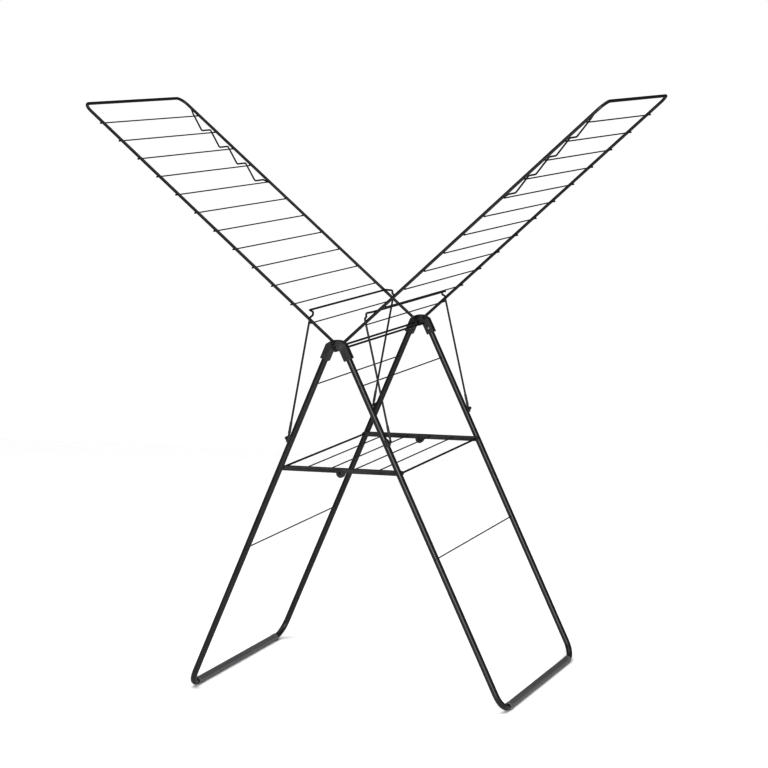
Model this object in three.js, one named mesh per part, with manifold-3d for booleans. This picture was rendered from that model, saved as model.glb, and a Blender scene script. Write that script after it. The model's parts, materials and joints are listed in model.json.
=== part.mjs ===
// Folding clothes airer: two U-shaped leg frames crossing at a pair of hinges,
// two wings propped up by bent-wire supports, and a shelf of two halves that folds between the legs.
// Millimetres, +Z up, +X to the right wing, -Y the near side, origin on the floor under the middle.
import * as THREE from 'three';
import { mergeVertices } from 'three/addons/utils/BufferGeometryUtils.js';
import Module from 'manifold-3d';

const wasm = await Module();
wasm.setup();

// Driving dimensions
const LEG_ANGLE = THREE.MathUtils.degToRad(24.5); // each leg from the vertical
const HINGE_HEIGHT = 950;      // leg hinge axis above the floor
const LEG_OFFSET = 18;         // leg tube axis from the hinge axis
const LEG_Y = 320;             // leg tube axis from the middle plane
const LEG_RADIUS = 8;
const LEG_WALL = 1.2;
const LEG_CORNER = 45;         // bend between leg and foot bar
const LEG_CORNER_STEPS = 6;
const LEG_TOP = 9;             // top end of the tube, below the hinge axis
const WIRE_RADIUS = 1.5;
const WIRE_OVERHANG = 2;       // how far a leg wire's ends stand out of the tubes
const UPPER_WIRE_HEIGHT = 850;
const LOWER_WIRE_HEIGHT = 402;
const SLEEVE_RADIUS = 9.7;
const COLLAR_RADIUS = 10.5;
const COLLAR_LENGTH = 12;
const COLLAR_FROM_BEND = 3;    // where the sleeve stops short of the leg's bend
const GAP = 0.3;               // clearance between pieces that touch
const OVERRUN = 1;             // how far a cutting shape passes the faces it cuts

const HINGE_DISC = 10;         // radius of the overlapping hinge plates
const HINGE_CROWN = 20;        // top of the hinge above its axis, where the halves meet
const CROWN_RADIUS = 60;       // curve of the hinge's domed top
const CROWN_END = 23.5;        // where the dome stops, from the middle
const CROWN_CHAMFER = [[2, 0], [-1, 1.5]]; // down the leg and in from the socket's outer flank
const HINGE_INNER = 310.9;     // inner and outer faces of the hinge plastic
const HINGE_OUTER = 331.1;
const SOCKET_HALF_WIDTH = 11;
const SOCKET_END = 42;         // lower end of the socket, along the leg
const SOCKET_PAST_END = 2;
const HINGE_PIN = { radius: 4, headRadius: 6, head: 1.6 };
const TOP_ROD = { s: 8, n: 11.5, radius: 2.5 };

const WING_ANGLE = THREE.MathUtils.degToRad(41.2); // wing above the horizontal
const WING_PIVOT = 19;         // wing pivot and tip, measured along the wing from the hinge axis
const WING_TIP = 968;
const WING_Y = 306;            // rail axis from the middle plane
const RAIL_RADIUS = 4;
const RAIL_WALL = 1;
const TIP_CORNER = 30;
const WING_PIVOT_END = 318;    // turned ends of the rails, inside the hinges
const WING_PIVOT_BEND = 5;
const WING_HOLE_END = 319;
const WING_WIRES = 12;
const FIRST_WIRE = 99.5;       // wire nearest the hinge
const WIRE_STEP = 72.4;
const WIRE_END = 310.6;
const WIRE_LIFT = -(RAIL_RADIUS + WIRE_RADIUS + GAP); // wires run under the rails
const HANGER = { radius: 1.75, inner: 227, outer: 286, lead: 8, teeth: 4, bend: 2.5, start: 18, end: 14 };

const SUPPORT_RADIUS = 2.5;
const SUPPORT_Y = 314;         // uprights, just outside the rails
const SUPPORT_STANDOFF = 12.5; // support pivot from the leg axis
const SUPPORT_PIVOT_S = 282;   // support pivot along the leg from the hinge
const SUPPORT_PIN_END = 327;
const SUPPORT_ELBOW = [76.6, 1027.7];
const SUPPORT_SEAT = [75, 1031.5];
const SUPPORT_SHOULDER = [74, 1040.5];
const SHOULDER_Y = 298;        // the uprights step in beside the rails, then over them
const SUPPORT_BAR = [90, 1043.5];
const BAR_Y = 283;
const SUPPORT_BENDS = [4, 6, 4, 4, 6];
const BUSH_RADIUS = 4.5;
const BUSH_FACES = [317, 329];
const SADDLE = { length: 10, crest: 3, foot: 3, shoulder: 9 }; // along the leg, and out from its axis

const SHELF_HEIGHT = 622;
const SHELF_BAR_HEIGHT = 12.4;
const SHELF_BAR_INNER = 301;
const SHELF_BAR_OUTER = 311;
const KNUCKLE_HEIGHT = 614.5;
const KNUCKLE_RADIUS = 11.5;
const KNUCKLE_PIN = { radius: 3, headRadius: 4.5, head: 0.8 };
const SHELF_ROD_RADIUS = 2.5;
const SHELF_WIRE_RISE = 2;     // shelf wires above the bars' middle
const SHELF_WIRE_PLACES = [0.2, 0.6]; // along each half, from the knuckle to the rod
const LEFT_ROD_END = 331;      // the left shelf rod passes through the legs
const RIGHT_ROD_END = 311.6;

const HOLE_GAP = 0.35;
const SMOOTH = 24;
const FINE = 16;
const MEDIUM = 12;
const COARSE = 8;
const ARC_STEPS = 8;

// Materials, one for each finish
const coated = () => new THREE.MeshStandardMaterial({ color: 0x1b1b1c, roughness: 0.55, metalness: 0.3 });
const wireCoat = () => new THREE.MeshStandardMaterial({ color: 0x232324, roughness: 0.5, metalness: 0.3 });
const plastic = () => new THREE.MeshStandardMaterial({ color: 0x2b2b2c, roughness: 0.6, metalness: 0 });
const footPlastic = () => new THREE.MeshStandardMaterial({ color: 0x5c5c5e, roughness: 0.65, metalness: 0 });
const rivet = () => new THREE.MeshStandardMaterial({ color: 0x7d7d7f, roughness: 0.35, metalness: 0.9 });

// A path through given points, one step from each point to the next
class Route extends THREE.Curve {
  constructor(points) {
    super();
    this.points = points;
    this.steps = points.length - 1;
  }
  getPoint(t) {
    return this.points[Math.round(t * this.steps)].clone();
  }
  getPointAt(u) {
    return this.getPoint(u);
  }
  getTangentAt(u) {
    const i = Math.round(u * this.steps);
    const before = this.points[Math.max(i - 1, 0)];
    const here = this.points[i];
    const after = this.points[Math.min(i + 1, this.steps)];
    const way = new THREE.Vector3();
    if (i > 0) way.add(here.clone().sub(before).normalize());
    if (i < this.steps) way.add(after.clone().sub(here).normalize());
    return way.normalize();
  }
}

// Rounds the inner corners of a polyline with arcs
function rounded(corners, radii, steps = 5) {
  const path = [corners[0]];
  for (let i = 1; i < corners.length - 1; i++) {
    const into = corners[i - 1].clone().sub(corners[i]).normalize();
    const out = corners[i + 1].clone().sub(corners[i]).normalize();
    const half = into.angleTo(out) / 2;
    const radius = radii[i - 1];
    const middle = into.clone().add(out).normalize();
    const centre = corners[i].clone().addScaledVector(middle, radius / Math.sin(half));
    const start = corners[i].clone().addScaledVector(into, radius / Math.tan(half)).sub(centre);
    const end = corners[i].clone().addScaledVector(out, radius / Math.tan(half)).sub(centre);
    const sweep = start.angleTo(end);
    const turn = new THREE.Vector3().crossVectors(start, end).normalize();
    for (let k = 0; k <= steps; k++) {
      path.push(start.clone().applyAxisAngle(turn, sweep * k / steps).add(centre));
    }
  }
  path.push(corners[corners.length - 1]);
  return path;
}

function circle(radius, sides) {
  const outline = [];
  for (let i = 0; i < sides; i++) {
    const angle = (i + 0.5) * 2 * Math.PI / sides;
    outline.push(new THREE.Vector2(radius * Math.cos(angle), radius * Math.sin(angle)));
  }
  return new THREE.Shape(outline);
}

function tube(points, radius, sides) {
  const route = new Route(points);
  return new THREE.ExtrudeGeometry(circle(radius, sides), { steps: route.steps, extrudePath: route });
}

// A straight round bar along Y at (x, z)
function bar(x, z, radius, from, to, sides = COARSE) {
  const shape = circle(radius, sides);
  const geometry = new THREE.ExtrudeGeometry(shape, { depth: to - from, bevelEnabled: false });
  return geometry.rotateX(-Math.PI / 2).translate(x, from, z);
}

// An outline in X and Z, given thickness along Y
function plate(outline, from, to) {
  const shape = new THREE.Shape(outline.map(([x, z]) => new THREE.Vector2(x, -z)));
  const geometry = new THREE.ExtrudeGeometry(shape, { depth: to - from, bevelEnabled: false });
  return geometry.rotateX(-Math.PI / 2).translate(0, from, 0);
}

function solid(geometry) {
  const bare = geometry.clone();
  for (const name of ['normal', 'uv']) bare.deleteAttribute(name);
  const merged = mergeVertices(bare, 1e-4);
  const vertProperties = new Float32Array(merged.attributes.position.array);
  const triVerts = new Uint32Array(merged.index.array);
  return new wasm.Manifold(new wasm.Mesh({ numProp: 3, vertProperties, triVerts }));
}

function shapeOf(body) {
  const { vertProperties, triVerts } = body.getMesh();
  const geometry = new THREE.BufferGeometry();
  geometry.setAttribute('position', new THREE.BufferAttribute(vertProperties, 3));
  geometry.setIndex(new THREE.BufferAttribute(triVerts, 1));
  return geometry;
}

function piece(name, geometry, material) {
  const mesh = new THREE.Mesh(geometry, material);
  mesh.name = name;
  return mesh;
}

// Points in the plane of the right leg: s runs down the leg from the hinge axis, n outwards from it
const SIN = Math.sin(LEG_ANGLE);
const COS = Math.cos(LEG_ANGLE);
const onLeg = (s, n = LEG_OFFSET) => [n * COS + s * SIN, HINGE_HEIGHT + n * SIN - s * COS];
const legDistance = (z) => (HINGE_HEIGHT + LEG_OFFSET * SIN - z) / COS;
// Points in the plane of the right wing: along the wing from the hinge axis, lift above its rails
const onWing = (along, y, lift = 0) => new THREE.Vector3(
  along * Math.cos(WING_ANGLE) - lift * Math.sin(WING_ANGLE),
  y,
  HINGE_HEIGHT + along * Math.sin(WING_ANGLE) + lift * Math.cos(WING_ANGLE),
);
const at = ([x, z], y) => new THREE.Vector3(x, y, z);

function legTube(shelfHoles) {
  const foot = legDistance(COLLAR_RADIUS);
  const corners = (top) => [
    at(onLeg(top), -LEG_Y), at(onLeg(foot), -LEG_Y), at(onLeg(foot), LEG_Y), at(onLeg(top), LEG_Y),
  ];
  const route = (top) => rounded(corners(top), [LEG_CORNER, LEG_CORNER], LEG_CORNER_STEPS);
  const outside = solid(tube(route(LEG_TOP), LEG_RADIUS, FINE));
  const inside = solid(tube(route(LEG_TOP - OVERRUN), LEG_RADIUS - LEG_WALL, FINE));
  const holes = [[UPPER_WIRE_HEIGHT, WIRE_RADIUS], [LOWER_WIRE_HEIGHT, WIRE_RADIUS]];
  if (shelfHoles) holes.push([SHELF_HEIGHT, SHELF_ROD_RADIUS]);
  const reach = LEG_Y + LEG_RADIUS + OVERRUN;
  let body = outside.subtract(inside);
  for (const [height, radius] of holes) {
    const [x, z] = onLeg(legDistance(height));
    body = body.subtract(solid(bar(x, z, radius + HOLE_GAP, -reach, reach)));
  }
  return shapeOf(body);
}

function legWire(height) {
  const [x, z] = onLeg(legDistance(height));
  const end = LEG_Y + LEG_RADIUS + WIRE_OVERHANG;
  return bar(x, z, WIRE_RADIUS, -end, end);
}

// Plastic foot along the foot bar, with a thicker collar at each end
function footSleeve() {
  const [x, z] = onLeg(legDistance(COLLAR_RADIUS));
  const end = LEG_Y - LEG_CORNER - COLLAR_FROM_BEND;
  const flat = (radius) => radius / Math.cos(Math.PI / FINE);
  let body = solid(bar(x, z, flat(SLEEVE_RADIUS), -end, end, FINE));
  for (const from of [-end, end - COLLAR_LENGTH]) {
    body = body.add(solid(bar(x, z, flat(COLLAR_RADIUS), from, from + COLLAR_LENGTH, FINE)));
  }
  const bore = bar(x, z, flat(LEG_RADIUS + GAP), -end - OVERRUN, end + OVERRUN, FINE);
  return shapeOf(body.subtract(solid(bore)));
}

// The hinge's outline on the leg's side of the middle: a socket with straight flanks under a domed crown
function hingeOutline() {
  const low = LEG_OFFSET - SOCKET_HALF_WIDTH;
  const high = LEG_OFFSET + SOCKET_HALF_WIDTH;
  const crown = (x) => [x, HINGE_HEIGHT + HINGE_CROWN - x * x / (2 * CROWN_RADIUS)];
  const chamfer = CROWN_CHAMFER.map(([s, inward]) => onLeg(s, high - inward));
  const outline = [onLeg(SOCKET_END, low), onLeg(SOCKET_END, high), ...chamfer];
  for (let i = 0; i <= ARC_STEPS; i++) {
    outline.push(crown(CROWN_END + (GAP - CROWN_END) * i / ARC_STEPS));
  }
  return [...outline, [GAP, HINGE_HEIGHT], onLeg(0, low)];
}

// Hinge half: a socket on the leg and a plate round the hinge axis, which laps the other half's plate
function hingeHalf(sign, outerLayer) {
  const faces = (from, to) => (sign > 0 ? [from, to] : [-to, -from]);
  const middle = (HINGE_INNER + HINGE_OUTER) / 2;
  const through = [HINGE_INNER - OVERRUN, HINGE_OUTER + OVERRUN];
  const own = outerLayer ? [middle + GAP, HINGE_OUTER] : [HINGE_INNER, middle - GAP];
  const other = outerLayer ? [through[0], middle + GAP] : [middle - GAP, through[1]];
  const axis = (radius, span) => solid(bar(0, HINGE_HEIGHT, radius, ...faces(...span), SMOOTH));
  let body = solid(plate(hingeOutline(), ...faces(HINGE_INNER, HINGE_OUTER)));
  body = body.subtract(axis(HINGE_DISC + HOLE_GAP, other)).add(axis(HINGE_DISC, own));
  body = body.subtract(axis(HINGE_PIN.radius + HOLE_GAP, through));
  const socketFrom = at(onLeg(LEG_TOP - GAP), sign * LEG_Y);
  const socketTo = at(onLeg(SOCKET_END + SOCKET_PAST_END), sign * LEG_Y);
  const bore = solid(tube([socketFrom, socketTo], (LEG_RADIUS + GAP) / Math.cos(Math.PI / FINE), FINE));
  const pivot = onWing(WING_PIVOT, 0);
  const hole = bar(pivot.x, pivot.z, RAIL_RADIUS + HOLE_GAP, ...faces(through[0], WING_HOLE_END), MEDIUM);
  return shapeOf(body.subtract(bore).subtract(solid(hole)));
}

// Wing frame: a U of round tube whose ends turn outwards into the hinges, and the hanger wire
function wingFrame() {
  const rails = (end, radius) => solid(tube(rounded([
    onWing(WING_PIVOT, -end), onWing(WING_PIVOT, -WING_Y), onWing(WING_TIP, -WING_Y),
    onWing(WING_TIP, WING_Y), onWing(WING_PIVOT, WING_Y), onWing(WING_PIVOT, end),
  ], [WING_PIVOT_BEND, TIP_CORNER, TIP_CORNER, WING_PIVOT_BEND]), radius, MEDIUM));
  const lift = WIRE_LIFT + WIRE_RADIUS + HANGER.radius + GAP;
  const wire = (k) => FIRST_WIRE + WIRE_STEP * (WING_WIRES - 1 - k) + HANGER.lead;
  const corners = [onWing(wire(0) + HANGER.start, -WING_Y, lift), onWing(wire(0), -HANGER.outer, lift)];
  for (let k = 1; k <= HANGER.teeth; k++) {
    corners.push(onWing(wire(k), -HANGER.inner, lift));
    corners.push(onWing(wire(k), -HANGER.outer, lift));
  }
  corners.push(onWing(wire(HANGER.teeth) - HANGER.end, -WING_Y, lift));
  const bends = corners.slice(2).map(() => HANGER.bend);
  const hanger = solid(tube(rounded(corners, bends, 2), HANGER.radius, COARSE));
  const walls = rails(WING_PIVOT_END, RAIL_RADIUS).add(hanger);
  return shapeOf(walls.subtract(rails(WING_PIVOT_END + OVERRUN, RAIL_RADIUS - RAIL_WALL)));
}

function wingWire(index) {
  const middle = onWing(FIRST_WIRE + WIRE_STEP * index, 0, WIRE_LIFT);
  return bar(middle.x, middle.z, WIRE_RADIUS, -WIRE_END, WIRE_END);
}

// Wing support: a wire U pivoted beside the legs, with its crossbar hooked over the wing
function supportWire() {
  const foot = onLeg(SUPPORT_PIVOT_S, LEG_OFFSET + SUPPORT_STANDOFF);
  const half = (sign) => [
    at(foot, sign * SUPPORT_PIN_END), at(foot, sign * SUPPORT_Y), at(SUPPORT_ELBOW, sign * SUPPORT_Y),
    at(SUPPORT_SEAT, sign * SHOULDER_Y), at(SUPPORT_SHOULDER, sign * SHOULDER_Y),
    at(SUPPORT_BAR, sign * BAR_Y),
  ];
  const bends = [...SUPPORT_BENDS, ...SUPPORT_BENDS.toReversed()];
  return tube(rounded([...half(-1), ...half(1).reverse()], bends, 4), SUPPORT_RADIUS, COARSE);
}

// Plastic bush that carries a support's turned end on the outer side of the leg
function supportBush(sign) {
  const reach = LEG_OFFSET + SUPPORT_STANDOFF;
  const centre = onLeg(SUPPORT_PIVOT_S, reach);
  const [inner, outer] = BUSH_FACES;
  const faces = (extra) => (sign > 0 ? [inner - extra, outer + extra] : [-outer - extra, -inner + extra]);
  const half = (way) => [
    [way * SADDLE.crest, reach], [way * SADDLE.length, LEG_OFFSET + SADDLE.shoulder],
    [way * SADDLE.length, LEG_OFFSET + SADDLE.foot],
  ];
  const outline = [...half(1), ...half(-1).reverse()].map(([s, n]) => onLeg(SUPPORT_PIVOT_S + s, n));
  let body = solid(plate(outline, ...faces(0))).add(solid(bar(...centre, BUSH_RADIUS, ...faces(0), MEDIUM)));
  body = body.subtract(solid(bar(...centre, SUPPORT_RADIUS + HOLE_GAP, ...faces(OVERRUN), MEDIUM)));
  const leg = [-1, 1].map((way) => at(onLeg(SUPPORT_PIVOT_S + 2 * way * SADDLE.length), sign * LEG_Y));
  return shapeOf(body.subtract(solid(tube(leg, (LEG_RADIUS + GAP) / Math.cos(Math.PI / FINE), FINE))));
}

// Shelf bar: from the leg to the middle, with a knuckle plate that laps the other half's
function shelfBar(sign, outerLayer) {
  const [end] = onLeg(legDistance(SHELF_HEIGHT));
  const half = SHELF_BAR_HEIGHT / 2;
  const outline = [[GAP, SHELF_HEIGHT + half], [GAP, SHELF_HEIGHT - half]];
  for (let i = 0; i <= ARC_STEPS; i++) {
    const angle = -Math.PI / 2 + Math.PI * i / ARC_STEPS;
    outline.push([end + half * Math.cos(angle), SHELF_HEIGHT + half * Math.sin(angle)]);
  }
  const faces = (from, to) => (sign > 0 ? [from, to] : [-to, -from]);
  const middle = (SHELF_BAR_INNER + SHELF_BAR_OUTER) / 2;
  const through = [SHELF_BAR_INNER - OVERRUN, SHELF_BAR_OUTER + OVERRUN];
  const own = outerLayer ? [middle + GAP, SHELF_BAR_OUTER] : [SHELF_BAR_INNER, middle - GAP];
  const other = outerLayer ? [through[0], middle + GAP] : [middle - GAP, through[1]];
  const knuckle = (radius, span) => solid(bar(0, KNUCKLE_HEIGHT, radius, ...faces(...span), SMOOTH));
  let body = solid(plate(outline, ...faces(SHELF_BAR_INNER, SHELF_BAR_OUTER)));
  body = body.subtract(knuckle(KNUCKLE_RADIUS + HOLE_GAP, other)).add(knuckle(KNUCKLE_RADIUS, own));
  body = body.subtract(knuckle(KNUCKLE_PIN.radius + HOLE_GAP, through));
  const rodHole = bar(end, SHELF_HEIGHT, SHELF_ROD_RADIUS + HOLE_GAP, ...faces(...through));
  return shapeOf(body.subtract(solid(rodHole)));
}

// Pin along Y with a wider head at each end
function headedPin(x, z, { radius, headRadius, head }, [from, to]) {
  const profile = [[0, from - head], [headRadius, from - head], [headRadius, from], [radius, from],
    [radius, to], [headRadius, to], [headRadius, to + head], [0, to + head]];
  const points = profile.map(([r, y]) => new THREE.Vector2(r, y));
  return new THREE.LatheGeometry(points, MEDIUM).translate(x, 0, z);
}

// One side of the airer, built as the right one; the left one is the same side turned half round
function side(name, ends, shelfRodEnd) {
  const group = new THREE.Group();
  const add = (label, geometry, material) => group.add(piece(label, geometry, material));
  add(`${name}_leg_frame`, legTube(name === 'left'), coated());
  add(`${name}_upper_leg_wire`, legWire(UPPER_WIRE_HEIGHT), wireCoat());
  add(`${name}_lower_leg_wire`, legWire(LOWER_WIRE_HEIGHT), wireCoat());
  add(`${name}_foot_sleeve`, footSleeve(), footPlastic());
  const [rodX, rodZ] = onLeg(TOP_ROD.s, TOP_ROD.n);
  const rodEnd = HINGE_INNER - GAP;
  add(`${name}_top_rod`, bar(rodX, rodZ, TOP_ROD.radius, -rodEnd, rodEnd), wireCoat());
  add(`${name}_wing_frame`, wingFrame(), coated());
  for (let i = 0; i < WING_WIRES; i++) {
    add(`${name}_wing_wire_${i + 1}`, wingWire(i), wireCoat());
  }
  add(`${name}_wing_support`, supportWire(), wireCoat());
  const [shelfX] = onLeg(legDistance(SHELF_HEIGHT));
  const shelfRod = bar(shelfX, SHELF_HEIGHT, SHELF_ROD_RADIUS, -shelfRodEnd, shelfRodEnd);
  add(`${name}_shelf_rod`, shelfRod, wireCoat());
  const wireEnd = SHELF_BAR_INNER - GAP;
  for (const [i, place] of SHELF_WIRE_PLACES.entries()) {
    const wire = bar(place * shelfX, SHELF_HEIGHT + SHELF_WIRE_RISE, WIRE_RADIUS, -wireEnd, wireEnd);
    add(`${name}_shelf_wire_${i + 1}`, wire, wireCoat());
  }
  for (const [i, sign] of [-1, 1].entries()) {
    add(`${name}_hinge_${ends[i]}`, hingeHalf(sign, i === 0), plastic());
    add(`${name}_support_bush_${ends[i]}`, supportBush(sign), plastic());
    add(`${name}_shelf_bar_${ends[i]}`, shelfBar(sign, i === 0), plastic());
  }
  return group;
}

const airer = new THREE.Group();
airer.add(side('right', ['near', 'far'], RIGHT_ROD_END));
const left = side('left', ['far', 'near'], LEFT_ROD_END);
left.rotation.z = Math.PI;
airer.add(left);

for (const [end, sign] of [['near', -1], ['far', 1]]) {
  const hinge = [HINGE_INNER - GAP, HINGE_OUTER + GAP];
  const knuckle = [SHELF_BAR_INNER - GAP, SHELF_BAR_OUTER + GAP];
  const faces = ([from, to]) => (sign > 0 ? [from, to] : [-to, -from]);
  const hingePin = headedPin(0, HINGE_HEIGHT, HINGE_PIN, faces(hinge));
  const knucklePin = headedPin(0, KNUCKLE_HEIGHT, KNUCKLE_PIN, faces(knuckle));
  airer.add(piece(`hinge_pin_${end}`, hingePin, rivet()));
  airer.add(piece(`shelf_knuckle_pin_${end}`, knucklePin, rivet()));
}

export default airer;
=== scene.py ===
"""Folding clothes airer, in metres: two leg frames that cross at a pair of hinges, two wings of drying
lines held up by wire bows, and a two-part shelf between the legs. The left side is the right side turned
half round."""
import json
import math

import bmesh
import bpy
from mathutils import Matrix, Vector


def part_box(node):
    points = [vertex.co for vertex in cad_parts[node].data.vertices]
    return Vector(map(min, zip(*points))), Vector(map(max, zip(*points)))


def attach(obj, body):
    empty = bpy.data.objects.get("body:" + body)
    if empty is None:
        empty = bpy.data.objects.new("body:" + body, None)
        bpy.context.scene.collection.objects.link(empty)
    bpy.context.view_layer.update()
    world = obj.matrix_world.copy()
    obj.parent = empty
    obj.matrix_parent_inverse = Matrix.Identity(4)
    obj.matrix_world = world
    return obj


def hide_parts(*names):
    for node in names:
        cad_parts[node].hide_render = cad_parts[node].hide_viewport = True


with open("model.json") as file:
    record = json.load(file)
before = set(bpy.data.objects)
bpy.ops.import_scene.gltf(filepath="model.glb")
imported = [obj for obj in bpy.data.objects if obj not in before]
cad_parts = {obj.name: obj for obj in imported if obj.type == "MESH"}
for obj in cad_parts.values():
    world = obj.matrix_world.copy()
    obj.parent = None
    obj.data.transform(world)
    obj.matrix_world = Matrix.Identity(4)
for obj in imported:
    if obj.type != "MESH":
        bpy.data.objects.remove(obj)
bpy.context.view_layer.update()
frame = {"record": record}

MM = 0.001
Y = Vector((0, 1, 0))
HALF_TURN = Matrix.Rotation(math.pi, 4, "Z")


def middle_of(node):
    low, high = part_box(node)
    return (low + high) / 2


def width_of(node):
    low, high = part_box(node)
    return high.y - low.y


# Where things are, taken from the frame
JOINT = {joint["name"]: Vector(joint["pos_m"]) for joint in frame["record"]["behaviour"]["joints"]}
HINGE = JOINT["leg_fold"]
KNUCKLE = JOINT["shelf_knuckle"]
WING_PIVOT = JOINT["right_wing_fold"]
BOW_PIVOT = JOINT["right_support_swing"]
UPPER_TIE = middle_of("right_upper_leg_wire")
LOWER_TIE = middle_of("right_lower_leg_wire")
FOOT = middle_of("right_foot_sleeve")
FIRST_LINE = middle_of("right_wing_wire_1")
LAST_LINE = middle_of("right_wing_wire_12")
SHELF_AXLE = middle_of("right_shelf_rod")
TOP_ROD = middle_of("right_top_rod")
BOW_LOW, BOW_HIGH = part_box("right_wing_support")

# Directions in the side plane: down the right leg and out from it, along the right wing and up from it
LEG_WAY = (LOWER_TIE - UPPER_TIE).normalized()
LEG_OUT = Vector((-LEG_WAY.z, 0, LEG_WAY.x))
WING_WAY = (LAST_LINE - FIRST_LINE).normalized()
WING_UP = Vector((-WING_WAY.z, 0, WING_WAY.x))

# Sizes
LEG_Y = 320 * MM
LEG_RADIUS = 8 * MM
LEG_WALL = 1.2 * MM
LEG_BEND = 45 * MM
LEG_TOP = 9 * MM
LEG_OFFSET = (UPPER_TIE - HINGE).dot(LEG_OUT)
TIE_RADIUS = 1.5 * MM
RAIL_Y = 306 * MM
RAIL_RADIUS = 3.95 * MM
RAIL_WALL = 1 * MM
TIP_BEND = 30 * MM
PIVOT_BEND = 5 * MM
PIVOT_END = 318 * MM
WING_TIP = 967.86 * MM
LINE_RADIUS = 1.5 * MM
LINE_END = 310.6 * MM
ROD_RADIUS = 2.5 * MM
HINGE_FACES = (310.9 * MM, 331.1 * MM)
SHELF_FACES = (301 * MM, 311 * MM)
SHELF_HALF_HEIGHT = 6.2 * MM
KNUCKLE_RADIUS = 11.5 * MM
KNUCKLE_PIN_RADIUS = 3 * MM
HINGE_PIN_RADIUS = 4 * MM
RAIL_NOMINAL_RADIUS = 4 * MM
GAP = 0.3 * MM
HOLE_GAP = 0.35 * MM
LEG_BORE = LEG_RADIUS + GAP
SPARE = 1 * MM  # how far a cutting shape runs past the faces that it cuts
EDGE_ANGLE = math.radians(32)
SMOOTH_ANGLE = math.radians(38)


def on_leg(down, out, y=0.0):
    return HINGE + LEG_WAY * down + LEG_OUT * out + Y * y


def on_wing(along, lift, y=0.0):
    return HINGE + WING_WAY * along + WING_UP * lift + Y * y


def both_ends(half):
    """Lathe stations from one end to the other, given as (distance from the middle, radius) for one end."""
    return [(-y, radius) for y, radius in half] + [(y, radius) for y, radius in half[::-1]]


def faces_along_y(sign, low, high):
    """Two distances from the middle, as a range along y on the near (-1) or far (1) side."""
    return (low, high) if sign > 0 else (-high, -low)


# Workshop: picking, drawing and cutting

def only(piece):
    bpy.ops.object.select_all(action="DESELECT")
    piece.select_set(True)
    bpy.context.view_layer.objects.active = piece


def start(name):
    """Names the primitive just added, fixes its place in its mesh and opens it for shaping."""
    piece = bpy.context.object
    piece.name = name
    piece.data.name = name
    only(piece)
    bpy.ops.object.transform_apply(location=True, rotation=True, scale=True)
    bpy.ops.object.mode_set(mode="EDIT")
    bpy.ops.mesh.select_mode(type="VERT")
    return piece


def pick(piece, kind, wanted):
    bpy.ops.mesh.select_mode(type=kind)
    bpy.ops.mesh.select_all(action="DESELECT")
    mesh = bmesh.from_edit_mesh(piece.data)
    items = {"VERT": mesh.verts, "EDGE": mesh.edges, "FACE": mesh.faces}[kind]
    for item in [item for item in items if wanted(item)]:
        item.select_set(True)
    bmesh.update_edit_mesh(piece.data)


def middle(item):
    return sum((corner.co for corner in item.verts), Vector()) / len(item.verts)


def close_up():
    """Merges doubles, turns all faces outwards and leaves edit mode."""
    bpy.ops.mesh.select_all(action="SELECT")
    bpy.ops.mesh.remove_doubles(threshold=0.001 * MM)
    bpy.ops.mesh.normals_make_consistent(inside=False)
    bpy.ops.object.mode_set(mode="OBJECT")


def ring_at(place, way, radius, sides, name):
    bpy.ops.object.select_all(action="DESELECT")
    turn = way.to_track_quat("Z", "Y").to_euler()
    bpy.ops.mesh.primitive_circle_add(vertices=sides, radius=radius, location=place, rotation=turn)
    piece = start(name)
    bpy.ops.mesh.select_all(action="SELECT")
    return piece


def drawn(name, corners, radius, bends=(), sides=20, steps=8, wall=0.0, rim=0.4 * MM):
    """Round bar or tube through the corners: the straights are extruded and the bends spun."""
    here = corners[0]
    piece = ring_at(here, (corners[1] - here).normalized(), radius, sides, name)
    for before, corner, after, bend in zip(corners, corners[1:], corners[2:], bends):
        into = (corner - before).normalized()
        out = (after - corner).normalized()
        turn = into.angle(out)
        reach = bend * math.tan(turn / 2)
        axis = into.cross(out).normalized()
        start_of_bend = corner - into * reach
        bpy.ops.mesh.extrude_region_move(TRANSFORM_OT_translate={"value": start_of_bend - here})
        centre = start_of_bend + axis.cross(into) * bend
        bpy.ops.mesh.spin(steps=steps, angle=-turn, center=centre, axis=axis)
        here = corner + out * reach
    bpy.ops.mesh.extrude_region_move(TRANSFORM_OT_translate={"value": corners[-1] - here})
    if not wall:
        bpy.ops.mesh.select_all(action="SELECT")
        bpy.ops.mesh.fill_holes(sides=0)
        pick(piece, "FACE", lambda face: len(face.verts) == sides)
        bpy.ops.mesh.region_to_loop()
        bpy.ops.mesh.bevel(offset=rim, segments=2, affect="EDGES")
    close_up()
    if wall:
        shell = piece.modifiers.new("wall", "SOLIDIFY")
        shell.thickness = wall
        shell.offset = -1
        apply_modifiers(piece)
    return piece


def turned(name, place, way, stations, sides=32, closed=False):
    """Shape turned on a lathe: rings (distance along, radius), joined one to the next."""
    reached, size = stations[0]
    piece = ring_at(place + way * reached, way, size, sides, name)
    for distance, radius in stations[1:]:
        bpy.ops.mesh.extrude_region_move(TRANSFORM_OT_translate={"value": way * (distance - reached)})
        grow = radius / size
        bpy.ops.transform.resize(value=(grow, grow, grow), center_override=place + way * distance)
        reached, size = distance, radius
    if not closed:
        bpy.ops.mesh.select_all(action="SELECT")
        bpy.ops.mesh.fill_holes(sides=0)
    close_up()
    return piece


def apply_modifiers(piece):
    only(piece)
    for modifier in list(piece.modifiers):
        bpy.ops.object.modifier_apply(modifier=modifier.name)


def combine(piece, other, way):
    """Adds the other shape to the piece (UNION) or cuts it out (DIFFERENCE), and uses it up."""
    tool = piece.modifiers.new(way.lower(), "BOOLEAN")
    tool.operation = way
    tool.object = other
    tool.solver = "EXACT"
    apply_modifiers(piece)
    bpy.data.objects.remove(other)
    return piece


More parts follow.
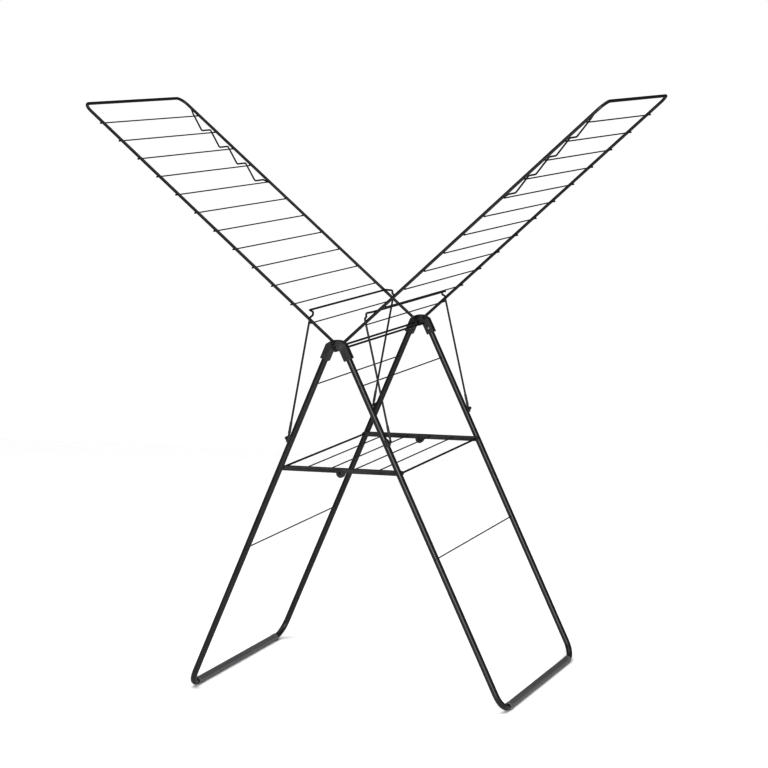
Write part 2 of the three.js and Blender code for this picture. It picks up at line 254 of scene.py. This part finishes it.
def softened(piece, width, segments=2):
    """Rounds the sharp edges, once the splinters that the cuts left have been cleared."""
    only(piece)
    bpy.ops.object.mode_set(mode="EDIT")
    bpy.ops.mesh.select_mode(type="VERT")
    bpy.ops.mesh.select_all(action="SELECT")
    bpy.ops.mesh.remove_doubles(threshold=0.03 * MM)
    bpy.ops.mesh.dissolve_limited(angle_limit=math.radians(0.6))
    bpy.ops.object.mode_set(mode="OBJECT")
    edge = piece.modifiers.new("soft edges", "BEVEL")
    edge.width = width
    edge.segments = segments
    edge.limit_method = "ANGLE"
    edge.angle_limit = EDGE_ANGLE
    apply_modifiers(piece)
    return piece


def cylinder(name, place, radius, from_y, to_y, sides=48):
    bpy.ops.object.select_all(action="DESELECT")
    bpy.ops.mesh.primitive_cylinder_add(
        vertices=sides, radius=radius, depth=to_y - from_y,
        location=(place.x, (from_y + to_y) / 2, place.z), rotation=(math.pi / 2, 0, 0),
    )
    piece = start(name)
    bpy.ops.object.mode_set(mode="OBJECT")
    return piece


def block(name, low, high, cuts=()):
    """Square block between two corners, trimmed by planes (a point on the cut, the way that falls off)."""
    bpy.ops.object.select_all(action="DESELECT")
    bpy.ops.mesh.primitive_cube_add(size=1, location=(low + high) / 2, scale=high - low)
    piece = start(name)
    for place, off in cuts:
        bpy.ops.mesh.select_all(action="SELECT")
        bpy.ops.mesh.bisect(plane_co=place, plane_no=off, use_fill=True, clear_outer=True)
    close_up()
    return piece


def copied(piece, name, move):
    only(piece)
    bpy.ops.object.duplicate(linked=False)
    twin = bpy.context.object
    twin.name = name
    twin.data.name = name
    twin.data.transform(move)
    return twin


# Finishes

def finish_nodes(name):
    material = bpy.data.materials.new(name)
    material.use_nodes = True
    nodes = material.node_tree.nodes
    return material, nodes, material.node_tree.links.new, nodes["Principled BSDF"]


def grain(nodes, link, scale, detail, place):
    noise = nodes.new("ShaderNodeTexNoise")
    noise.inputs["Scale"].default_value = scale
    noise.inputs["Detail"].default_value = detail
    link(place, noise.inputs["Vector"])
    return noise


def spread(nodes, link, source, low, high):
    """Maps the middle of a noise's range onto low to high."""
    span = nodes.new("ShaderNodeMapRange")
    span.inputs["From Min"].default_value = 0.3
    span.inputs["From Max"].default_value = 0.7
    span.inputs["To Min"].default_value = low
    span.inputs["To Max"].default_value = high
    link(source, span.inputs["Value"])
    return span.outputs["Result"]


def finish(name, dark, light, rough, grain_size, bump, specular=0.5, metal=0.0, streak=None):
    """Mottled base colour, uneven gloss and a fine surface relief, all fixed to the piece."""
    material, nodes, link, shader = finish_nodes(name)
    place = nodes.new("ShaderNodeTexCoord").outputs["Object"]
    if streak:
        stretch = nodes.new("ShaderNodeMapping")
        stretch.inputs["Scale"].default_value = streak
        link(place, stretch.inputs["Vector"])
        place = stretch.outputs["Vector"]
    mottle = grain(nodes, link, 35, 4, place)
    relief = grain(nodes, link, grain_size, 3, place)
    mixed = nodes.new("ShaderNodeMath")
    mixed.operation = "MULTIPLY_ADD"
    mixed.inputs[1].default_value = 0.5
    link(mottle.outputs["Fac"], mixed.inputs[0])
    half = nodes.new("ShaderNodeMath")
    half.operation = "MULTIPLY"
    half.inputs[1].default_value = 0.5
    link(relief.outputs["Fac"], half.inputs[0])
    link(half.outputs[0], mixed.inputs[2])
    ramp = nodes.new("ShaderNodeValToRGB")
    ramp.color_ramp.elements[0].position = 0.35
    ramp.color_ramp.elements[1].position = 0.65
    ramp.color_ramp.elements[0].color = (*dark, 1)
    ramp.color_ramp.elements[1].color = (*light, 1)
    link(mixed.outputs[0], ramp.inputs["Fac"])
    link(ramp.outputs["Color"], shader.inputs["Base Color"])
    link(spread(nodes, link, mottle.outputs["Fac"], rough[0], rough[1]), shader.inputs["Roughness"])
    raised = nodes.new("ShaderNodeBump")
    raised.inputs["Strength"].default_value = bump
    raised.inputs["Distance"].default_value = 0.15 * MM
    link(relief.outputs["Fac"], raised.inputs["Height"])
    link(raised.outputs["Normal"], shader.inputs["Normal"])
    shader.inputs["Specular IOR Level"].default_value = specular
    shader.inputs["Metallic"].default_value = metal
    return material


TUBE_COAT = finish(
    "powder_coated_tube", dark=(0.013, 0.013, 0.0135), light=(0.021, 0.021, 0.0218),
    rough=(0.34, 0.46), grain_size=900, bump=0.25, specular=0.4)
WIRE_COAT = finish(
    "powder_coated_wire", dark=(0.010, 0.010, 0.0105), light=(0.017, 0.017, 0.0175),
    rough=(0.36, 0.48), grain_size=1200, bump=0.2, specular=0.3)
BLACK_PLASTIC = finish(
    "grained_black_plastic", dark=(0.022, 0.022, 0.0228), light=(0.033, 0.033, 0.034),
    rough=(0.46, 0.58), grain_size=1500, bump=0.35, specular=0.35)
FOOT_PLASTIC = finish(
    "grey_foot_plastic", dark=(0.085, 0.085, 0.0875), light=(0.13, 0.13, 0.133),
    rough=(0.4, 0.54), grain_size=700, bump=0.3, specular=0.45, streak=(1, 0.08, 1))
RIVET_STEEL = finish(
    "zinc_rivet_steel", dark=(0.3, 0.3, 0.308), light=(0.46, 0.46, 0.47),
    rough=(0.3, 0.44), grain_size=1400, bump=0.15, metal=1.0)
PIN_STEEL = finish(
    "blackened_pin_steel", dark=(0.03, 0.03, 0.031), light=(0.055, 0.055, 0.057),
    rough=(0.4, 0.54), grain_size=1400, bump=0.15, metal=1.0)


# Fitting a piece to the airer, and its twin on the left side

def other_side(name):
    swap = {"right": "left", "near": "far", "far": "near"}
    return "_".join(swap.get(word, word) for word in name.split("_"))


def fit(piece, body, finish_of, node=None):
    only(piece)
    bpy.ops.object.shade_smooth_by_angle(angle=SMOOTH_ANGLE)
    piece.data.materials.clear()
    piece.data.materials.append(finish_of)
    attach(piece, body)
    if node:
        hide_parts(node)


def fit_both(piece, body, finish_of, node=None):
    twin = copied(piece, other_side(piece.name), HALF_TURN)
    fit(piece, body, finish_of, node)
    fit(twin, other_side(body), finish_of, node and other_side(node))


# Legs

def leg_frames():
    foot_down = (FOOT - HINGE).dot(LEG_WAY)
    corners = [on_leg(down, LEG_OFFSET, y) for down, y in (
        (LEG_TOP, -LEG_Y), (foot_down, -LEG_Y), (foot_down, LEG_Y), (LEG_TOP, LEG_Y))]
    tube = drawn("right_leg_tube", corners, LEG_RADIUS, (LEG_BEND, LEG_BEND), 28, 12, LEG_WALL)
    fit_both(tube, "right_leg", TUBE_COAT, "right_leg_frame")


def tie_wires():
    """Cross wires through both tubes of a leg frame, with a weld ring where they meet the tubes."""
    end = LEG_Y + LEG_RADIUS + 2 * MM
    inside = LEG_Y - LEG_RADIUS + 0.4 * MM
    outside = LEG_Y + LEG_RADIUS - 0.2 * MM
    half = [
        (end, 0.9), (end - 0.5 * MM, 1.0), (outside + 0.9 * MM, 1.05), (outside, 1.7),
        (outside - 1 * MM, 1.0), (inside + 1 * MM, 1.0), (inside, 1.9), (inside - 1.2 * MM, 1.35),
        (inside - 3 * MM, 1.0),
    ]
    stations = both_ends([(y, TIE_RADIUS * grow) for y, grow in half])
    for place, label in ((UPPER_TIE, "upper"), (LOWER_TIE, "lower")):
        wire = turned(f"right_tie_wire_{label}", place, Y, stations, 14)
        fit_both(wire, "right_leg", WIRE_COAT, f"right_{label}_leg_wire")


def foot_covers():
    end = width_of("right_foot_sleeve") / 2
    bore, body, collar = LEG_BORE, 9.7 * MM, 10.5 * MM
    half = [
        (end, bore + 0.2 * MM), (end, collar - 0.8 * MM), (end - 0.3 * MM, collar - 0.3 * MM),
        (end - 0.9 * MM, collar), (end - 11.2 * MM, collar), (end - 11.8 * MM, collar - 0.3 * MM),
        (end - 12 * MM, body), (end - 14 * MM, body), (end - 14.4 * MM, body - 0.4 * MM),
        (end - 15.4 * MM, body - 0.4 * MM), (end - 15.8 * MM, body),
    ]
    stations = [(-end, bore)] + both_ends(half) + [(end, bore), (-end, bore)]
    cover = turned("right_foot_cover", FOOT, Y, stations, 40, closed=True)
    fit_both(cover, "right_leg", FOOT_PLASTIC, "right_foot_sleeve")


# Hinges

def laps(sign, outer_layer, inner, outer):
    """Ranges along y of a half's own plate, and of the room that it leaves for the other half's plate."""
    lap = (inner + outer) / 2
    own = (lap + GAP, outer) if outer_layer else (inner, lap - GAP)
    other = (inner - SPARE, lap + GAP) if outer_layer else (lap - GAP, outer + SPARE)
    return faces_along_y(sign, *own), faces_along_y(sign, *other)


def leg_bore(sign, from_down, to_down):
    """Round bar that cuts room for a leg tube between two distances down the leg."""
    ends = [on_leg(down, LEG_OFFSET, sign * LEG_Y) for down in (from_down, to_down)]
    return drawn("leg bore", ends, LEG_BORE, sides=32, rim=0.01 * MM)


def hinge_half(sign, outer_layer, name):
    """Socket on the leg's top end under a domed crown, with a round plate lapping the other half's."""
    low_y, high_y = faces_along_y(sign, *HINGE_FACES)
    own, other = laps(sign, outer_layer, *HINGE_FACES)
    half_width, end = 11 * MM, 42 * MM
    crown, crown_radius = 20 * MM, 60 * MM

    def dome(x):
        return Vector((x, 0, HINGE.z + crown - x * x / (2 * crown_radius)))

    dome_cuts = [(dome(x * MM), Vector((x * MM / crown_radius, 0, 1))) for x in (2, 6, 10, 14, 18, 22)]
    chamfer = (on_leg(0.5 * MM, LEG_OFFSET + half_width - 0.7 * MM), LEG_OUT * 0.82 - LEG_WAY * 0.57)
    box_low = Vector((-5 * MM, low_y, HINGE.z - 60 * MM))
    box_high = Vector((60 * MM, high_y, HINGE.z + 30 * MM))
    flank_in = (on_leg(0, LEG_OFFSET - half_width), -LEG_OUT)
    flank_out = (on_leg(0, LEG_OFFSET + half_width), LEG_OUT)
    foot_cut = (on_leg(end, LEG_OFFSET), LEG_WAY)
    middle_cut = (Vector((GAP, 0, 0)), Vector((-1, 0, 0)))
    socket = block(name, box_low, box_high, [flank_in, flank_out, foot_cut, middle_cut, chamfer] + dome_cuts)
    shoulder = block("shoulder", Vector((GAP, low_y, HINGE.z + 1 * MM)),
                     Vector((12 * MM, high_y, HINGE.z + 30 * MM)), dome_cuts[:3])
    combine(socket, shoulder, "UNION")
    disc = 10 * MM
    combine(socket, cylinder("clear", HINGE, disc + HOLE_GAP, *other), "DIFFERENCE")
    combine(socket, cylinder("plate", HINGE, disc, *own), "UNION")
    pin_hole = cylinder(
        "pin hole", HINGE, HINGE_PIN_RADIUS + HOLE_GAP, low_y - SPARE, high_y + SPARE, 32)
    combine(socket, pin_hole, "DIFFERENCE")
    combine(socket, leg_bore(sign, LEG_TOP - GAP, end + 2 * MM), "DIFFERENCE")
    wing_hole_range = faces_along_y(sign, HINGE_FACES[0] - SPARE, PIVOT_END + SPARE)
    wing_hole = cylinder("wing hole", WING_PIVOT, RAIL_NOMINAL_RADIUS + HOLE_GAP, *wing_hole_range, 32)
    combine(socket, wing_hole, "DIFFERENCE")
    softened(socket, 0.9 * MM, 3)
    return socket


def hinges():
    for sign, label in ((-1, "near"), (1, "far")):
        half = hinge_half(sign, label == "near", f"right_hinge_socket_{label}")
        fit_both(half, "right_leg", BLACK_PLASTIC, f"right_hinge_{label}")
        lip = HINGE_FACES[0] * sign
        rivet = turned(f"right_socket_rivet_{label}", on_leg(27 * MM, LEG_OFFSET, lip), -Y * sign, [
            (-2 * MM, 1.2 * MM), (-0.1 * MM, 1.2 * MM), (-0.1 * MM, 2.6 * MM), (0.15 * MM, 2.6 * MM),
            (0.5 * MM, 2.1 * MM), (0.7 * MM, 1.2 * MM), (0.75 * MM, 0.5 * MM)], 20)
        fit_both(rivet, "right_leg", RIVET_STEEL)


def headed_pin(name, node, shank, head, thickness):
    low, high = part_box(node)
    centre = (low + high) / 2
    end = (high.y - low.y) / 2
    half = [
        (end, 0.25 * head), (end - 0.05 * thickness, 0.55 * head), (end - 0.25 * thickness, 0.85 * head),
        (end - 0.55 * thickness, head), (end - thickness, head), (end - thickness, shank),
    ]
    return turned(name, centre, Y, both_ends(half), 28)


def pins():
    for label in ("near", "far"):
        node = f"hinge_pin_{label}"
        pin = headed_pin(f"hinge_rivet_{label}", node, HINGE_PIN_RADIUS, 6 * MM, 1.6 * MM)
        fit(pin, "left_leg", PIN_STEEL, node)
        node = f"shelf_knuckle_pin_{label}"
        pin = headed_pin(f"knuckle_rivet_{label}", node, KNUCKLE_PIN_RADIUS, 4.5 * MM, 0.8 * MM)
        fit(pin, "shelf_left", PIN_STEEL, node)


def rod(name, place, end):
    half = [(end, ROD_RADIUS * 0.6), (end - 0.25 * MM, ROD_RADIUS * 0.88), (end - 0.7 * MM, ROD_RADIUS)]
    return turned(name, place, Y, both_ends(half), 18)


def top_rods():
    bar = rod("right_hinge_rod", TOP_ROD, width_of("right_top_rod") / 2)
    fit_both(bar, "right_leg", WIRE_COAT, "right_top_rod")


# Wings

def wing_rails():
    pivot = (WING_PIVOT - HINGE).dot(WING_WAY)
    corners = [on_wing(along, 0, y) for along, y in (
        (pivot, -PIVOT_END), (pivot, -RAIL_Y), (WING_TIP, -RAIL_Y),
        (WING_TIP, RAIL_Y), (pivot, RAIL_Y), (pivot, PIVOT_END))]
    bends = (PIVOT_BEND, TIP_BEND, TIP_BEND, PIVOT_BEND)
    rails = drawn("right_wing_rail", corners, RAIL_RADIUS, bends, 22, 10, RAIL_WALL)
    fit_both(rails, "right_wing", TUBE_COAT, "right_wing_frame")


def wing_lines():
    """Drying lines under the rails, each end swelling into its weld."""
    place = FIRST_LINE
    first = ring_at(place - Y * LINE_END, Y, LINE_RADIUS * 0.8, 12, "right_wing_line_1")
    reached = -LINE_END
    weld = [  # mm from the end, thickness, mm of rise towards the rail
        (0.4, 1.0, 0), (1.4, 1.1, 0.1), (3.2, 1.45, 0.35), (4.6, 1.6, 0.5),
        (6.0, 1.45, 0.35), (7.8, 1.1, 0.1), (9.5, 1.0, 0),
    ]
    stations = [(-LINE_END + y * MM, grow, rise) for y, grow, rise in weld]
    stations += [(LINE_END - y * MM, grow, rise) for y, grow, rise in weld[::-1]] + [(LINE_END, 0.8, 0)]
    grown, raised = 0.8, 0
    for y, grow, rise in stations:
        step = Y * (y - reached) + WING_UP * (rise - raised) * MM
        bpy.ops.mesh.extrude_region_move(TRANSFORM_OT_translate={"value": step})
        ratio = grow / grown
        centre = place + Y * y + WING_UP * rise * MM
        bpy.ops.transform.resize(value=(ratio, ratio, ratio), center_override=centre)
        reached, grown, raised = y, grow, rise
    bpy.ops.mesh.select_all(action="SELECT")
    bpy.ops.mesh.fill_holes(sides=0)
    close_up()
    lines = [first]
    for i in range(2, 13):
        shift = middle_of(f"right_wing_wire_{i}") - FIRST_LINE
        lines.append(copied(first, f"right_wing_line_{i}", Matrix.Translation(shift)))
    for i, line in enumerate(lines, 1):
        fit_both(line, "right_wing", WIRE_COAT, f"right_wing_wire_{i}")


def hanger_wires():
    """Zigzag wire with four teeth for clothes hangers, welded under the rail near the tip."""
    radius, inner, outer, lead = 2.1 * MM, 227 * MM, 286 * MM, 8 * MM
    lift = (FIRST_LINE - HINGE).dot(WING_UP) + LINE_RADIUS + radius + GAP
    held = [middle_of(f"right_wing_wire_{i}") for i in (12, 11, 10, 9, 8)]
    lines = [(line - HINGE).dot(WING_WAY) + lead for line in held]
    corners = [on_wing(lines[0] + 18 * MM, lift, -RAIL_Y), on_wing(lines[0], lift, -outer)]
    for along in lines[1:]:
        corners += [on_wing(along, lift, -inner), on_wing(along, lift, -outer)]
    corners.append(on_wing(lines[-1] - 14 * MM, lift, -RAIL_Y))
    bends = [2.5 * MM] * (len(corners) - 2)
    wire = drawn("right_hanger_wire", corners, radius, bends, 12, 4, rim=0.3 * MM)
    fit_both(wire, "right_wing", WIRE_COAT)


# Bows that hold the wings up

BOW_BAR_Y, BOW_STEP_Y, BOW_Y = 283 * MM, 298 * MM, 314 * MM
BOW_BENDS = [bend * MM for bend in (4, 6, 4, 4, 6)]


def bow_corners():
    """One half of a bow, from its turned end up to the crossbar: side-plane places, each with its y."""
    top = Vector((BOW_LOW.x + ROD_RADIUS, 0, BOW_HIGH.z - ROD_RADIUS - 3 * MM))
    bar = top + Vector((16 * MM, 0, 3 * MM))
    seat = top + Vector((1 * MM, 0, -9 * MM))
    elbow = top + Vector((2.6 * MM, 0, -12.8 * MM))
    end = width_of("right_wing_support") / 2
    pivot = Vector((BOW_PIVOT.x, 0, BOW_PIVOT.z))
    return [
        (pivot, end), (pivot, BOW_Y), (elbow, BOW_Y),
        (seat, BOW_STEP_Y), (top, BOW_STEP_Y), (bar, BOW_BAR_Y),
    ]


def bows():
    half = bow_corners()
    corners = [place - Y * y for place, y in half] + [place + Y * y for place, y in half[::-1]]
    bow = drawn("right_support_bow", corners, ROD_RADIUS, BOW_BENDS + BOW_BENDS[::-1], 16, 6)
    fit_both(bow, "right_support", WIRE_COAT, "right_wing_support")


BOW_GRIP = [  # mm up the bow from its pivot, mm of radius
    (10, 2.55), (10, 3.1), (10.5, 3.4), (12, 3.5), (40, 3.3), (42.5, 3.1), (43, 2.7), (43, 2.55), (10, 2.55),
]


def bow_grips():
    """Black plastic tubes over the lower ends of the bows."""
    (pivot, _), (elbow, _) = bow_corners()[1:3]
    way = (elbow - pivot).normalized()
    for sign, label in ((-1, "near"), (1, "far")):
        place = pivot + Y * sign * BOW_Y
        stations = [(distance * MM, radius * MM) for distance, radius in BOW_GRIP]
        grip = turned(f"right_bow_grip_{label}", place, way, stations, 24, closed=True)
        fit_both(grip, "right_support", BLACK_PLASTIC)


BUSH_LENGTH, BUSH_CREST, BUSH_FOOT, BUSH_EYE, BUSH_HOLE = 10 * MM, 3 * MM, 3 * MM, 4.5 * MM, 3.2 * MM
BUSH_FACES = (317 * MM, 329 * MM)


def bushes():
    """Bushes on the legs that carry the turned ends of the bows."""
    stand_off = (BOW_PIVOT - HINGE).dot(LEG_OUT)
    down = (BOW_PIVOT - HINGE).dot(LEG_WAY)
    shoulder = stand_off - (BUSH_LENGTH - BUSH_CREST) / 2
    for sign, label in ((-1, "near"), (1, "far")):
        low_y, high_y = faces_along_y(sign, *BUSH_FACES)
        cuts = [
            (on_leg(down + BUSH_LENGTH, 0), LEG_WAY), (on_leg(down - BUSH_LENGTH, 0), -LEG_WAY),
            (on_leg(down, LEG_OFFSET + BUSH_FOOT), -LEG_OUT), (on_leg(down, stand_off), LEG_OUT),
            (on_leg(down + BUSH_LENGTH, shoulder), LEG_WAY + LEG_OUT * 2),
            (on_leg(down - BUSH_LENGTH, shoulder), -LEG_WAY + LEG_OUT * 2),
        ]
        reach = Vector((40 * MM, 0, 40 * MM))
        low, high = BOW_PIVOT - reach + Y * low_y, BOW_PIVOT + reach + Y * high_y
        seat = block(f"right_bow_bush_{label}", low, high, cuts)
        combine(seat, cylinder("eye", BOW_PIVOT, BUSH_EYE, low_y, high_y), "UNION")
        hole = cylinder("hole", BOW_PIVOT, BUSH_HOLE, low_y - SPARE, high_y + SPARE, 24)
        combine(seat, hole, "DIFFERENCE")
        combine(seat, leg_bore(sign, down - 24 * MM, down + 24 * MM), "DIFFERENCE")
        softened(seat, 0.6 * MM, 2)
        fit_both(seat, "right_leg", BLACK_PLASTIC, f"right_support_bush_{label}")


# Shelf

CHANNEL_HALF_HEIGHT, CHANNEL_DEPTH = 3.1 * MM, 1.2 * MM


def shelf_beam(sign, outer_layer, name):
    """Beam with a channel along each side and a round end, and a knuckle plate below its inner end."""
    low_y, high_y = faces_along_y(sign, *SHELF_FACES)
    own, other = laps(sign, outer_layer, *SHELF_FACES)
    middle_y = (low_y + high_y) / 2
    hair = 0.01 * MM
    end = SHELF_AXLE.x + SHELF_HALF_HEIGHT
    low = Vector((GAP, low_y, SHELF_AXLE.z - SHELF_HALF_HEIGHT))
    high = Vector((end, high_y, SHELF_AXLE.z + SHELF_HALF_HEIGHT))
    beam = block(name, low, high)
    only(beam)
    bpy.ops.object.mode_set(mode="EDIT")
    at_end = Vector((end, middle_y))
    pick(beam, "EDGE", lambda edge: (middle(edge).xy - at_end).length < hair)
    bpy.ops.mesh.bevel(offset=SHELF_HALF_HEIGHT - hair, segments=10, affect="EDGES")
    close_up()
    channel_low = Vector((18 * MM, 0, SHELF_AXLE.z - CHANNEL_HALF_HEIGHT))
    channel_high = Vector((SHELF_AXLE.x - 9 * MM, 0, SHELF_AXLE.z + CHANNEL_HALF_HEIGHT))
    for face, into in ((low_y, 1), (high_y, -1)):
        near, deep = sorted((face - into * SPARE, face + into * CHANNEL_DEPTH))
        channel = block("channel", channel_low + Y * near, channel_high + Y * deep)
        combine(beam, channel, "DIFFERENCE")
    combine(beam, cylinder("clear", KNUCKLE, KNUCKLE_RADIUS + HOLE_GAP, *other), "DIFFERENCE")
    plate = cylinder("plate", KNUCKLE, KNUCKLE_RADIUS, *own)
    face = (max if outer_layer else min)(own, key=abs)
    only(plate)
    bpy.ops.object.mode_set(mode="EDIT")
    pick(plate, "FACE", lambda item: abs(middle(item).y - face) < hair)
    for thickness, depth in ((1.8 * MM, 0), (0.4 * MM, -0.5 * MM), (1.6 * MM, 0), (0.4 * MM, 0.5 * MM)):
        bpy.ops.mesh.inset(thickness=thickness, depth=depth)
    close_up()
    combine(beam, plate, "UNION")
    for label, place, radius, sides in (
            ("pin hole", KNUCKLE, KNUCKLE_PIN_RADIUS, 28), ("axle hole", SHELF_AXLE, ROD_RADIUS, 24)):
        hole = cylinder(label, place, radius + HOLE_GAP, low_y - SPARE, high_y + SPARE, sides)
        combine(beam, hole, "DIFFERENCE")
    softened(beam, 0.5 * MM, 2)
    return beam


def shelf():
    for sign, label in ((-1, "near"), (1, "far")):
        beam = shelf_beam(sign, label == "near", f"right_shelf_beam_{label}")
        fit_both_shelf(beam, BLACK_PLASTIC, f"right_shelf_bar_{label}")
    for i in (1, 2):
        low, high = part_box(f"right_shelf_wire_{i}")
        end = (high.y - low.y) / 2
        half = [(end, TIE_RADIUS), (end - 0.8 * MM, TIE_RADIUS * 1.5), (end - 2 * MM, TIE_RADIUS)]
        wire = turned(f"right_shelf_line_{i}", (low + high) / 2, Y, both_ends(half), 14)
        fit_both_shelf(wire, WIRE_COAT, f"right_shelf_wire_{i}")
    for side, body in (("right", "shelf_right"), ("left", "shelf_left")):
        node = f"{side}_shelf_rod"
        axle = rod(f"{side}_shelf_axle", middle_of(node), width_of(node) / 2)
        owner = "left_leg" if side == "left" else body
        fit(axle, owner, WIRE_COAT, node)


def fit_both_shelf(piece, finish_of, node):
    twin = copied(piece, other_side(piece.name), HALF_TURN)
    fit(piece, "shelf_right", finish_of, node)
    fit(twin, "shelf_left", finish_of, other_side(node))


# Studio: pale floor, soft lights and the camera

def studio():
    bpy.ops.object.select_all(action="DESELECT")
    bpy.ops.mesh.primitive_plane_add(size=7, location=(0, 0, 0))
    floor = start("floor")
    bpy.ops.object.mode_set(mode="OBJECT")
    floor.data.transform(Matrix.Translation((0, 0, -0.2 * MM)))
    paper, nodes, link, shader = finish_nodes("white_paper_floor")
    shader.inputs["Base Color"].default_value = (0.9, 0.9, 0.9, 1)
    shader.inputs["Roughness"].default_value = 0.9
    shader.inputs["Specular IOR Level"].default_value = 0.1
    floor.data.materials.append(paper)

    world = bpy.data.worlds.new("white_room")
    bpy.context.scene.world = world
    world.use_nodes = True
    nodes, link = world.node_tree.nodes, world.node_tree.links.new
    seen = nodes["Background"]
    seen.inputs["Color"].default_value = (1, 1, 1, 1)
    seen.inputs["Strength"].default_value = 1.0
    room = nodes.new("ShaderNodeBackground")
    room.inputs["Color"].default_value = (1, 1, 1, 1)
    room.inputs["Strength"].default_value = 0.12
    path = nodes.new("ShaderNodeLightPath")
    mix = nodes.new("ShaderNodeMixShader")
    link(path.outputs["Is Camera Ray"], mix.inputs["Fac"])
    link(room.outputs["Background"], mix.inputs[1])
    link(seen.outputs["Background"], mix.inputs[2])
    link(mix.outputs["Shader"], nodes["World Output"].inputs["Surface"])

    lamp = bpy.data.lights.new("overhead_daylight", "SUN")
    lamp.energy = 2.85
    lamp.angle = math.radians(70)
    light = bpy.data.objects.new("overhead_daylight", lamp)
    bpy.context.scene.collection.objects.link(light)
    light.rotation_euler = (math.radians(8), math.radians(-6), 0)
    lamp = bpy.data.lights.new("tall_softbox", "AREA")
    lamp.shape = "RECTANGLE"
    lamp.size = 2.2
    lamp.size_y = 3.8
    lamp.energy = 1000
    light = bpy.data.objects.new("tall_softbox", lamp)
    bpy.context.scene.collection.objects.link(light)
    light.location = (2.9, -7.2, 2.0)
    aim = Vector((0, 0, 0.7)) - light.location
    light.rotation_euler = aim.to_track_quat("-Z", "Y").to_euler()


def camera():
    place = Vector((2.466, -6.4675, 1.7404))
    yaw, pitch, roll = 0.36308, -0.13326, -0.01357
    forward = Vector((-math.sin(yaw) * math.cos(pitch), math.cos(yaw) * math.cos(pitch), math.sin(pitch)))
    level = forward.cross(Vector((0, 0, 1))).normalized()
    up = level.cross(forward)
    right = level * math.cos(roll) + up * math.sin(roll)
    top = up * math.cos(roll) - level * math.sin(roll)
    view = bpy.data.cameras.new("camera")
    view.sensor_width = 36
    view.lens = 119.43
    view.clip_end = 100
    eye = bpy.data.objects.new("camera", view)
    bpy.context.scene.collection.objects.link(eye)
    eye.matrix_world = Matrix.Translation(place) @ Matrix((right, top, -forward)).transposed().to_4x4()
    bpy.context.scene.camera = eye
    bpy.context.scene.view_settings.view_transform = "Standard"
    bpy.context.scene.view_settings.gamma = 0.68


leg_frames()
tie_wires()
foot_covers()
hinges()
pins()
top_rods()
wing_rails()
wing_lines()
hanger_wires()
bows()
bow_grips()
bushes()
shelf()
studio()
camera()
